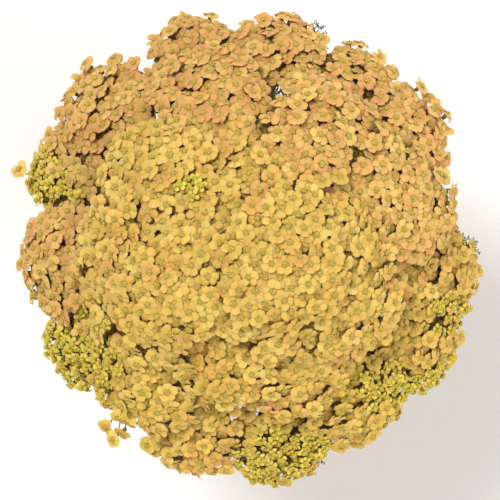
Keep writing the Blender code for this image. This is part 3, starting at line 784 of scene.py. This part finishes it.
def ferny_leaf(shape, rib, width, pairs, cuts, tone):
    """A leaf cut twice: pinnae on both sides of the rib, and small blades along each."""
    count = len(rib) - 1
    ahead = directions(rib)
    side = np.cross(level_unit(rib[-1] - rib[0]), UP)
    tube(shape, rib, np.linspace(*RIB_RADII, len(rib)), 4, (0.2, 0.5, tone, 0.5))
    blades = Blades(tone)
    for pair in range(pairs):
        share = (pair + 0.5) / pairs
        place = (LEAF_BARE + (1 - LEAF_BARE) * share) * count
        low = min(int(place), count - 1)
        root = rib[low] * (1 - place + low) + rib[low + 1] * (place - low)
        forward = ahead[low]
        above = np.cross(side, forward)
        reach = 0.5 * width * math.sin(math.pi * (0.14 + 0.80 * share)) ** 0.8
        for hand in (-1, 1):
            sweep = PINNA_SWEEP + math.radians(14 * share) + 0.15 * draws.uniform(-1, 1)
            lift = 0.30 * draws.uniform(-0.4, 1)
            along = unit(side * hand * math.cos(sweep) + forward * math.sin(sweep) + above * lift)
            across = unit(np.cross(above, along))
            normal = np.cross(along, across)
            length = reach * draws.uniform(0.9, 1.1) / math.cos(sweep)
            thick = PINNA_WIDTH + 0.05 * length
            blades.add(root, root + along * length, across, normal, thick, 0.6 + 0.4 * share)
            for cut in range(cuts):
                at = 0.18 + 0.62 * cut / max(1, cuts - 1)
                start = root + along * length * at
                for turn in (-1, 1):
                    spread = CUT_SPREAD + 0.2 * draws.uniform(-1, 1)
                    direction = along * math.cos(spread) + across * turn * math.sin(spread)
                    direction = unit(direction + normal * 0.35 * draws.uniform(-0.5, 1))
                    size = (0.46 - 0.26 * at) * length * draws.uniform(0.8, 1.15)
                    wing = unit(np.cross(normal, direction))
                    thick = CUT_WIDTH + 0.13 * size
                    blades.add(start, start + direction * size, wing, normal, thick, 0.5 + 0.5 * at)
    blades.build(shape)


def leaf_tip(points, root):
    """The outermost corner of the solid leaf that leaves a stem at a root, or None."""
    low, high = SOLID_LEAF_BAND
    apart = points - root
    reach = np.linalg.norm(apart[:, :2], axis=1)
    found = (apart[:, 2] > low) & (apart[:, 2] < high) & (reach > SOLID_LEAF_REACH)
    if not found.any():
        return None
    return points[found][np.argmax(reach[found])]


def add_branches(shape, head, feet, fork):
    """Branches from a fork to hubs under the cap, and a stalk from its hub to each floret's foot."""
    count = max(3, round(len(feet) / FLORETS_PER_BRANCH))
    local = (feet - head.seat) @ head.turn
    turns = GOLDEN_ANGLE * np.arange(count)
    reach = HUB_REACH * head.radius * np.sqrt((np.arange(count) + 0.5) / count)
    hubs = np.column_stack([reach * np.cos(turns), reach * np.sin(turns)])
    nearest = np.linalg.norm(local[:, None, :2] - hubs[None], axis=2).argmin(axis=1)
    for k in range(count):
        own = np.flatnonzero(nearest == k)
        if not len(own):
            continue
        centre = local[own, :2].mean(axis=0) * 0.8
        hub = head.world(*centre, head.cap(*centre) - BRANCH_DROP)
        middle = fork * 0.45 + hub * 0.55 - head.turn[:, 2] * BRANCH_SAG
        branch = np.array([bezier([fork, middle, hub], t) for t in np.linspace(0, 1, 5)])
        tube(shape, branch, np.linspace(1, 0.6, 5) * BRANCH_RADIUS, 5, (0.4, 0.2, 0.5, draws.uniform()))
        for foot in feet[own]:
            normal = unit(foot - hub + head.turn[:, 2] * 2 * MM)
            control = foot - normal * 0.45 * np.linalg.norm(foot - hub)
            stalk = np.array([bezier([hub, control, foot], t) for t in (0, 0.55, 1)])
            tube(shape, stalk, np.full(3, PEDICEL_RADIUS), 3, (0.7, 0.2, 0.5, draws.uniform()))


def add_stem_leaf(shape, root, towards, length):
    rib = arch(root, level_unit(towards), length, *STEM_LEAF_ARCH, STEM_LEAF_STEPS)
    ferny_leaf(shape, rib, STEM_LEAF_WIDTH * length, *STEM_LEAF_CUTS, draws.uniform())


def build_stem(head, feet, finish):
    """A ribbed stem, the branches and stalks of its head, and its ferny leaves."""
    shape = Shape()
    path = stem_path(head, STEM_STEPS)
    radii = np.linspace(STEM_ROOT_RADIUS, STEM_TOP_RADIUS, len(path))
    tube(shape, path, radii, STEM_SIDES, (0.3, 0.2, 0.5, 0.5), STEM_RIBS)
    tip = path[-1]
    add_branches(shape, head, feet, tip + unit(path[-2] - tip) * BRANCH_FORK)
    chord = arch_chord(STEM_LEAF_ARCH, STEM_LEAF_STEPS)
    fine = stem_path(head, LEVEL_STEPS)[1:]
    for level in SOLID_LEAF_LEVELS:
        root = fine[round(level * (len(fine) - 1))]
        found = leaf_tip(head.stem_points, root)
        if found is not None:
            add_stem_leaf(shape, root, found - root, np.linalg.norm(found - root) / chord)
    for level in MORE_LEAF_LEVELS:
        root = fine[round(level * (len(fine) - 1))]
        turn = math.atan2(tip[1], tip[0]) + draws.uniform(-2.6, 2.6)
        length = draws.uniform(24, 34) * MM * (1.15 - 0.5 * level)
        add_stem_leaf(shape, root, np.array((math.cos(turn), math.sin(turn), 0.0)), length)
    piece = shape.build("stalks_" + head.name, [finish])
    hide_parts("stem_" + head.name)
    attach(piece, "root")


def build_basal_leaf(number, finish):
    """A long leaf from the edge of the crown, arching over the pot's rim."""
    name = f"basal_leaf_{number:02d}"
    points = node_points(name)
    foot = points[points[:, 2] < SOIL_LEVEL - 2 * MM].mean(axis=0)
    root = np.array((foot[0], foot[1], SOIL_LEVEL + SOIL_HEAP))
    tip = points[np.argmax(np.linalg.norm(points[:, :2] - root[:2], axis=1))]
    length = np.linalg.norm(tip - root) / arch_chord(BASAL_ARCH, BASAL_STEPS)
    rib = arch(root, level_unit(tip - root), length, *BASAL_ARCH, BASAL_STEPS)
    shape = Shape()
    stalk = [root - UP * depth for depth in (10 * MM, 4 * MM, 0.0)]
    tube(shape, stalk, np.full(3, BASAL_STALK), 5, (0.1, 0.5, 0.5, 0.5))
    ferny_leaf(shape, rib, BASAL_WIDTH, *BASAL_CUTS, draws.uniform())
    piece = shape.build(f"ferny_leaf_{number:02d}", [finish])
    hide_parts(name)
    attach(piece, "root")


def principled(name):
    """A new node material, its tree and its shader."""
    made = bpy.data.materials.new(name)
    made.use_nodes = True
    tree = made.node_tree
    return made, tree, tree.nodes["Principled BSDF"]


def tone_channels(tree):
    """The four numbers of the tone attribute, as sockets."""
    tone = tree.nodes.new("ShaderNodeAttribute")
    tone.attribute_name = "tone"
    parts = tree.nodes.new("ShaderNodeSeparateColor")
    tree.links.new(tone.outputs["Color"], parts.inputs["Color"])
    return parts.outputs["Red"], parts.outputs["Green"], parts.outputs["Blue"], tone.outputs["Alpha"]


def feed(tree, sockets, values):
    """Gives sockets their values: other sockets, numbers or (r, g, b)."""
    for socket, value in zip(sockets, values):
        if isinstance(value, bpy.types.NodeSocket):
            tree.links.new(value, socket)
        else:
            socket.default_value = (*value, 1.0) if isinstance(value, tuple) else value


def mixed(tree, factor, first, second, blend="MIX"):
    node = tree.nodes.new("ShaderNodeMix")
    node.data_type = "RGBA"
    node.blend_type = blend
    feed(tree, [s for s in node.inputs if s.enabled], (factor, first, second))
    return next(s for s in node.outputs if s.enabled)


def computed(tree, operation, *values):
    node = tree.nodes.new("ShaderNodeMath")
    node.operation = operation
    feed(tree, node.inputs, values)
    return node.outputs[0]


def ramp(tree, factor, stops, interpolation="LINEAR"):
    """A colour ramp of (place, grey or (r, g, b)) stops."""
    node = tree.nodes.new("ShaderNodeValToRGB")
    node.color_ramp.interpolation = interpolation
    elements = node.color_ramp.elements
    while len(elements) < len(stops):
        elements.new(0.5)
    for element, (place, value) in zip(elements, stops):
        element.position = place
        element.color = (*value, 1.0) if isinstance(value, tuple) else (value, value, value, 1.0)
    tree.links.new(factor, node.inputs["Fac"])
    return node.outputs["Color"]


def noise(tree, scale, detail=3.0, roughness=0.55):
    place = tree.nodes.new("ShaderNodeTexCoord")
    node = tree.nodes.new("ShaderNodeTexNoise")
    node.inputs["Scale"].default_value = scale
    node.inputs["Detail"].default_value = detail
    node.inputs["Roughness"].default_value = roughness
    tree.links.new(place.outputs["Object"], node.inputs["Vector"])
    return node.outputs["Fac"]


def set_bump(tree, shader, height, strength, distance):
    node = tree.nodes.new("ShaderNodeBump")
    names = ("Height", "Strength", "Distance")
    feed(tree, [node.inputs[name] for name in names], (height, strength, distance))
    tree.links.new(node.outputs["Normal"], shader.inputs["Normal"])


def set_surface(tree, shader, colour, roughness, specular=0.5):
    names = ("Base Color", "Roughness", "Specular IOR Level")
    feed(tree, [shader.inputs[name] for name in names], (colour, roughness, specular))


def petal_finish(colour):
    """Matt petals: two hues by floret, paler rims, greenish claws darkened towards the disc partly as
    painted shade, and fine veins along them.
    """
    made, tree, shader = principled(colour + "_petal")
    along, across, petal_draw, warmth = tone_channels(tree)
    cool, warm = COLOURS[colour]
    hue = mixed(tree, warmth, cool, warm)
    flush = ramp(tree, noise(tree, 55), ((0.42, 0.0), (0.70, 0.8)))
    hue = mixed(tree, computed(tree, "MULTIPLY", flush, warmth), hue, (0.84, 0.35, 0.14))
    hue = mixed(tree, ramp(tree, petal_draw, ((0.55, 0.0), (1.0, 0.5))), hue, (0.86, 0.62, 0.18))
    hue = mixed(tree, ramp(tree, along, ((0.6, 0.0), (1.0, 0.3))), hue, (0.88, 0.64, 0.23))
    shade = computed(tree, "MULTIPLY_ADD", petal_draw, 0.24, 0.80)
    hue = mixed(tree, 1.0, hue, shade, "MULTIPLY")
    # Greenish claws, darkest at the petal base next to the disc: partly the claws' own colour, partly
    # painted shade under the disc.
    claw_and_base_shade = ramp(tree, along, ((0.0, 0.8), (0.36, 0.0)))
    hue = mixed(tree, claw_and_base_shade, hue, (0.55, 0.40, 0.05))
    veins = computed(tree, "SINE", computed(tree, "MULTIPLY", across, 44.0))
    veins = computed(tree, "MULTIPLY_ADD", veins, 0.035, 0.965)
    hue = mixed(tree, 1.0, hue, veins, "MULTIPLY")
    set_surface(tree, shader, hue, 0.62, 0.15)
    shader.inputs["Subsurface Weight"].default_value = 0.35
    shader.inputs["Subsurface Radius"].default_value = (1.0, 0.6, 0.25)
    shader.inputs["Subsurface Scale"].default_value = 1.5 * MM
    set_bump(tree, shader, veins, 0.25, 0.2 * MM)
    return made


def disc_finish():
    """Disc flowers: petal-coloured lobes round dark throats, brighter on the small florets."""
    made, tree, shader = principled("disc_flowers")
    lobe, small, draw, _ = tone_channels(tree)
    pale = mixed(tree, draw, (0.88, 0.60, 0.17), (0.82, 0.62, 0.14))
    bright = mixed(tree, draw, (0.88, 0.70, 0.08), (0.84, 0.72, 0.10))
    hue = mixed(tree, small, pale, bright)
    throat = ramp(tree, lobe, ((0.0, 1.0), (0.30, 0.8), (0.62, 0.08), (0.8, 0.0)))
    set_surface(tree, shader, mixed(tree, throat, hue, (0.13, 0.075, 0.010)), 0.6, 0.25)
    return made


def involucre_finish():
    """Overlapping olive bracts, straw-coloured towards the disc, and the knotted core below them."""
    made, tree, shader = principled("involucre")
    level, side, core, _ = tone_channels(tree)
    hue = ramp(tree, level, (
        (0.0, (0.14, 0.125, 0.020)), (0.6, (0.30, 0.23, 0.035)), (0.92, (0.46, 0.31, 0.045)),
    ))
    hue = mixed(tree, computed(tree, "MULTIPLY", side, 0.3), hue, (0.12, 0.10, 0.018))
    knots = ramp(tree, noise(tree, 420, 2), ((0.40, 0.0), (0.56, 1.0)))
    hue = mixed(tree, computed(tree, "MULTIPLY", knots, core), hue, (0.15, 0.105, 0.018))
    set_surface(tree, shader, hue, 0.7)
    set_bump(tree, shader, knots, 1.0, 1.0 * MM)
    return made


def leaf_finish():
    """Dark grey-green foliage with fine pale hairs, and olive stalks."""
    made, tree, shader = principled("ferny_leaf")
    level, leafy, leaf_draw, blade_draw = tone_channels(tree)
    hue = mixed(tree, leaf_draw, (0.045, 0.072, 0.014), (0.080, 0.110, 0.022))
    hue = mixed(tree, computed(tree, "MULTIPLY", blade_draw, 0.4), hue, (0.110, 0.145, 0.035))
    hue = mixed(tree, ramp(tree, noise(tree, 120), ((0.4, 0.0), (0.7, 0.35))), hue, (0.040, 0.055, 0.012))
    stalk = mixed(tree, blade_draw, (0.20, 0.155, 0.028), (0.29, 0.20, 0.040))
    hue = mixed(tree, ramp(tree, leafy, ((0.3, 1.0), (0.4, 0.0))), hue, stalk)
    set_surface(tree, shader, hue, 0.62)
    shader.inputs["Sheen Weight"].default_value = 0.15
    shader.inputs["Sheen Roughness"].default_value = 0.5
    return made


def clay_finish():
    """Fired clay: mottled orange-brown, pale lime bloom and dark specks."""
    made, tree, shader = principled("fired_clay")
    hue = mixed(tree, noise(tree, 28, 5), (0.42, 0.165, 0.075), (0.60, 0.270, 0.135))
    bloom = ramp(tree, noise(tree, 46, 6, 0.7), ((0.56, 0.0), (0.74, 0.55)))
    hue = mixed(tree, bloom, hue, (0.66, 0.50, 0.38))
    specks = ramp(tree, noise(tree, 900, 2), ((0.62, 0.0), (0.72, 0.5)))
    set_surface(tree, shader, mixed(tree, specks, hue, (0.26, 0.10, 0.05)), 0.88, 0.2)
    grain = mixed(tree, 0.5, noise(tree, 700, 4), noise(tree, 160, 3))
    set_bump(tree, shader, grain, 0.35, 0.6 * MM)
    return made


def soil_finish():
    """Dark peat with brown bark and white grit among the crumbs."""
    made, tree, shader = principled("potting_mix")
    _, _, _, draw = tone_channels(tree)
    hue = mixed(tree, noise(tree, 260, 5), (0.016, 0.010, 0.007), (0.070, 0.045, 0.028))
    hue = mixed(tree, ramp(tree, draw, ((0.80, 0.0), (0.92, 0.8))), hue, (0.16, 0.095, 0.05))
    grit = ramp(tree, draw, ((0.955, 0.0), (0.965, 1.0)), "CONSTANT")
    set_surface(tree, shader, mixed(tree, grit, hue, (0.62, 0.60, 0.55)), 0.95)
    set_bump(tree, shader, noise(tree, 1500, 4), 0.6, 0.6 * MM)
    return made


def pot_outline(rim, height):
    """Radius and height of the pot's skin, up its outside, over the rim and down its inside."""
    ledge_height = height - POT_RIM_HEIGHT
    inner_rim = rim - POT_WALL
    inner_foot = POT_FOOT - POT_WALL
    bends = (
        (POT_FOOT, 0, ((-1.5, 0), (-0.4, 0.4), (0, 1.5))),
        (POT_NECK, ledge_height, ((0, -1.5), (0.6, -0.4))),
        (POT_LEDGE, ledge_height, ((-1.5, 0), (-0.3, 0.4), (0, 1.5))),
        (rim, height, ((-0.1, -2.2), (-0.5, -0.7), (-1.6, -0.05))),
        (inner_rim, height, ((1.6, 0), (0.5, -0.5), (-0.3, -2))),
        (inner_foot, POT_FLOOR, ((0.8, 1.5), (-1, 0))),
    )
    edge = [(r + out * MM, z + up * MM) for r, z, offsets in bends for out, up in offsets]
    outline = []
    for (r0, z0), (r1, z1) in zip(edge, edge[1:]):
        steps = max(1, round(math.hypot(r1 - r0, z1 - z0) / POT_STEP))
        outline += [(r0 + (r1 - r0) * k / steps, z0 + (z1 - z0) * k / steps) for k in range(steps)]
    return outline + edge[-1:]


def drain_cutters():
    """Cylinders through the pot's floor, in a collection of their own."""
    cutters = bpy.data.collections.new("drains")
    for k in range(DRAINS):
        turn = 2 * math.pi * k / DRAINS
        place = (DRAIN_CIRCLE * math.cos(turn), DRAIN_CIRCLE * math.sin(turn), POT_FLOOR / 2)
        made = bmesh.new()
        bmesh.ops.create_cone(
            made, cap_ends=True, segments=32, radius1=DRAIN_RADIUS, radius2=DRAIN_RADIUS,
            depth=20 * MM, matrix=Matrix.Translation(place),
        )
        mesh = bpy.data.meshes.new("drain")
        made.to_mesh(mesh)
        made.free()
        cutters.objects.link(bpy.data.objects.new("drain", mesh))
    return cutters


def build_pot(finish):
    """A turned pot with rounded edges and drain holes, on the solid's own sizes."""
    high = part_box("clay_pot")[1]
    rings = [ring(radius, height, POT_SIDES) for radius, height in pot_outline(high.x, high.z)]
    corners = np.concatenate(rings)
    here = np.arange(POT_SIDES)
    ends = [here[::-1].tolist(), (here + len(corners) - POT_SIDES).tolist()]
    mesh = bpy.data.meshes.new("turned_pot")
    mesh.from_pydata(corners.tolist(), [], ring_quads(POT_SIDES, len(rings)).tolist() + ends)
    pot = new_object("turned_pot", mesh)
    cutters = drain_cutters()
    cut = pot.modifiers.new("drains", "BOOLEAN")
    cut.operand_type = "COLLECTION"
    cut.collection = cutters
    cut.solver = "EXACT"
    bpy.context.view_layer.update()
    shaped = bpy.data.meshes.new_from_object(pot.evaluated_get(bpy.context.evaluated_depsgraph_get()))
    pot.modifiers.remove(cut)
    pot.data = shaped
    for cutter in list(cutters.objects):
        bpy.data.objects.remove(cutter, do_unlink=True)
    bpy.data.collections.remove(cutters)
    shaped.shade_smooth()
    shaped.set_sharp_from_angle(angle=math.radians(42))
    shaped.materials.append(finish)
    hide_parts("clay_pot")
    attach(pot, "root")


def soil_surface(x, y, radius):
    """The heap's height, with lumps of three sizes."""
    share = np.hypot(x, y) / radius
    lumps = 0.9 * np.sin(x / (5.3 * MM) + 1.0) * np.cos(y / (4.7 * MM))
    lumps += 0.45 * np.sin(x / (2.1 * MM) + 2.0) * np.sin(y / (2.6 * MM) + 0.7)
    lumps += 0.22 * np.sin(x / (0.9 * MM)) * np.sin(y / (0.8 * MM) + 1.9)
    return SOIL_LEVEL + SOIL_HEAP * (1 - share**2) + lumps * MM * (1 - share**6) - 0.6 * MM


def add_crumbs(shape, radius):
    """Rough little balls, strewn over the surface."""
    ball = bmesh.new()
    bmesh.ops.create_icosphere(ball, subdivisions=1, radius=1.0)
    corners = np.array([tuple(v.co) for v in ball.verts])
    faces = np.array([[v.index for v in face.verts] for face in ball.faces])
    ball.free()
    for _ in range(CRUMBS):
        reach = (radius - 3 * MM) * math.sqrt(draws.uniform())
        turn = draws.uniform(0, 2 * math.pi)
        x = reach * math.cos(turn)
        y = reach * math.sin(turn)
        size = draws.uniform(0.5, 1.5) * MM * (1.5 if draws.uniform() > 0.93 else 1)
        stretch = size * draws.uniform(0.55, 1.25, 3)
        rough = corners * stretch * draws.uniform(0.75, 1.2, (len(corners), 1))
        spin = turn_matrix(draws.uniform(0, 6.3), Vector(draws.uniform(-1, 1, 3)))
        height = soil_surface(x, y, radius) + 0.15 * size
        shape.add(rough @ spin.T + (x, y, height), [faces], (0, 0, 0, draws.uniform()))


def build_soil(finish):
    """Potting mix with crumbs, bark and white grit on it."""
    low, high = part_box("potting_soil")
    radius = high.x - 0.3 * MM
    rings = []
    for k in range(1, SOIL_RINGS + 1):
        level = ring(radius * k / SOIL_RINGS, 0.0, SOIL_SIDES)
        level[:, 2] = soil_surface(level[:, 0], level[:, 1], radius)
        rings.append(level)
    rings.append(ring(SOIL_FOOT_RADIUS, low.z, SOIL_SIDES))
    middle = (0, 0, soil_surface(0, 0, radius))
    corners, faces = closed_rings(rings, middle, (0, 0, low.z), downward=True)
    shape = Shape()
    shape.add(corners, faces, (0, 0, 0, 0.3))
    add_crumbs(shape, radius)
    piece = shape.build("potting_mix", [finish], smooth=False)
    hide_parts("potting_soil")
    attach(piece, "root")


def build_stage():
    """A plain pale floor and soft studio light from above, with the key at the photograph's top."""
    bpy.ops.mesh.primitive_plane_add(size=8)
    floor = bpy.context.object
    floor.name = "floor"
    made, _, shader = principled("pale_floor")
    shader.inputs["Base Color"].default_value = (0.93, 0.93, 0.92, 1)
    shader.inputs["Roughness"].default_value = 0.9
    floor.data.materials.append(made)
    for name, (place, softness, strength) in LIGHTS.items():
        data = bpy.data.lights.new(name, "SUN")
        data.angle = math.radians(softness)
        data.energy = strength
        new_object(name, data).rotation_euler = (-Vector(place)).to_track_quat("-Z", "Y").to_euler()
    world = bpy.data.worlds.new("studio")
    world.use_nodes = True
    background = world.node_tree.nodes["Background"]
    background.inputs["Color"].default_value = (1.0, 0.95, 0.88, 1)
    background.inputs["Strength"].default_value = 0.52
    bpy.context.scene.world = world
    bpy.context.scene.view_settings.view_transform = "Standard"


def build_camera():
    """Straight above, at the photograph's scale."""
    data = bpy.data.cameras.new("camera")
    data.sensor_width = SENSOR
    data.lens = SENSOR * CAMERA_DISTANCE / (PHOTO_PIXELS * PIXEL)
    camera = new_object("camera", data)
    across, up = PHOTO_MIDDLE
    camera.location = (across * PIXEL, up * PIXEL, CANOPY_LEVEL + CAMERA_DISTANCE)
    bpy.context.scene.camera = camera


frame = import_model()
build_stage()
build_camera()
leaf_green = leaf_finish()
disc_yellow = disc_finish()
bract_green = involucre_finish()
petal_finishes = {colour: petal_finish(colour) for colour in COLOURS}
heads = [Head(index) for index in range(len(HEADS))]
crowd = place_florets(heads)
for fill_pass in FILL_PASSES:
    fill_gaps(heads, crowd, *fill_pass)
stray_florets(crowd)
kinds = (
    [floret_kind(*BROAD_PETALS, PETAL_SLOT) for _ in range(BROAD_KINDS)],
    [disc_kind(*BROAD_DISC) for _ in range(DISC_KINDS)],
    [floret_kind(*SMALL_PETALS, LEMON_SLOT) for _ in range(SMALL_KINDS)],
    [disc_kind(*SMALL_DISC) for _ in range(SMALL_DISC_KINDS)],
)
for index, head in enumerate(heads):
    finishes = [petal_finishes[head.colour], disc_yellow, bract_green, petal_finishes["lemon"]]
    feet = build_head(head, crowd, index, kinds, finishes)
    build_stem(head, feet, leaf_green)
for number in range(1, BASAL_LEAVES + 1):
    build_basal_leaf(number, leaf_green)
build_pot(clay_finish())
build_soil(soil_finish())
